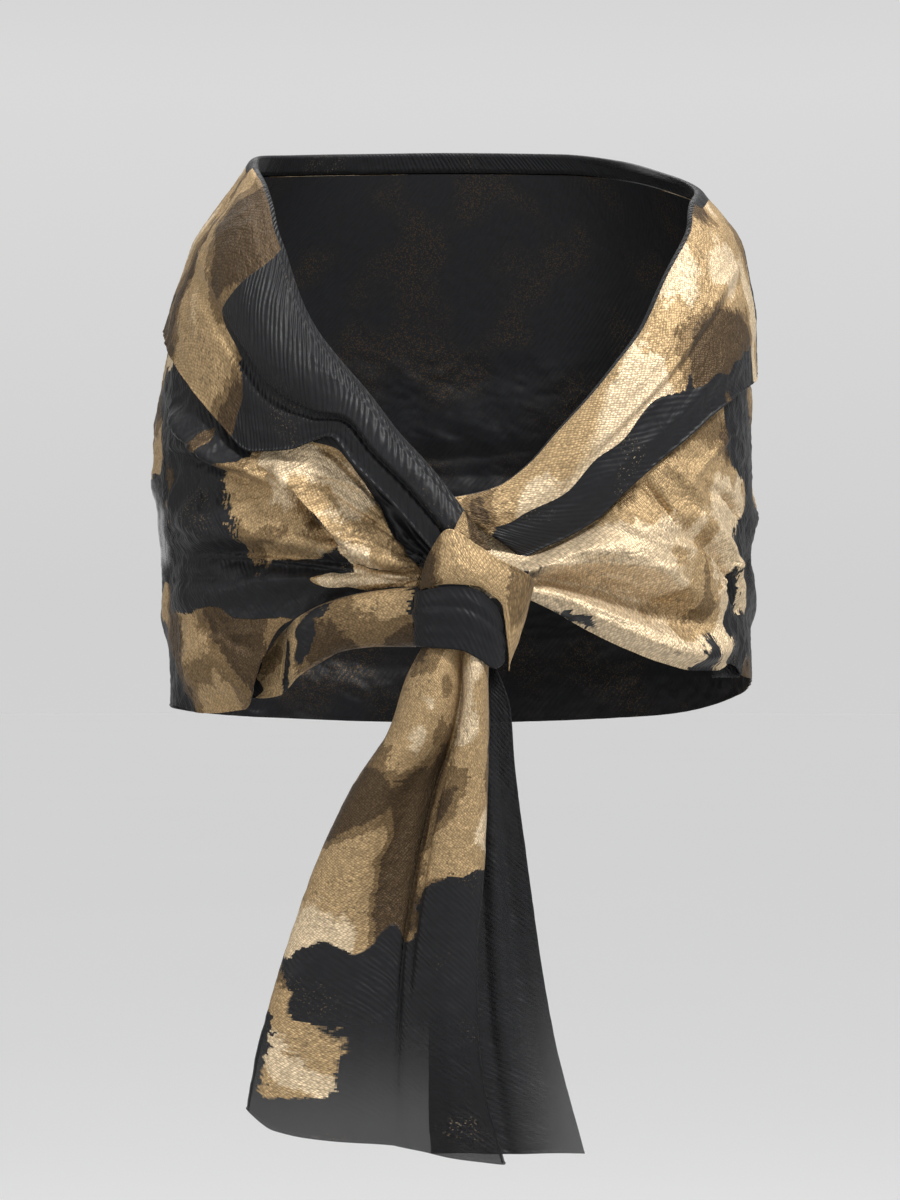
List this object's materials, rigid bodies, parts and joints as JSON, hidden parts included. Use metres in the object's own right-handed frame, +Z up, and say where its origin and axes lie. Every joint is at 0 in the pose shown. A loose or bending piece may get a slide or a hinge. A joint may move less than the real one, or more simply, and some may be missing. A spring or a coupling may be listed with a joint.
{
  "type": "evening stole",
  "caption": "Jacquard organza evening stole, worn: wrapped round the shoulders, top turned down as a collar, knotted in front with a long hanging tail.",
  "frame": {"origin": "between the shoulder points, at the height of the tops of the shoulders, on the wearer's middle line", "axes": "+Z up, the wearer faces -Y, +X is towards the wearer's left"},
  "size_m": [0.4779, 0.2917, 0.7873],
  "materials": {
    "jacquard": "metallic gold and black cloque jacquard on organza, crinkled, soft metallic sheen",
    "black_organza": "black crepe organza with fine ribs, matt with a soft sheen, slightly sheer in one layer"
  },
  "bodies": {
    "root": {"back_wrap": "jacquard", "collar_back": "jacquard", "collar_right": "jacquard", "collar_left": "jacquard", "front_right": "jacquard", "roll_right": "jacquard", "front_left": "jacquard", "under_left": "black_organza", "knot_wrap": "jacquard", "knot_band": "black_organza", "knot_tip": "jacquard", "tail_front": "jacquard", "tail_back": "black_organza"}
  },
  "joints": []
}
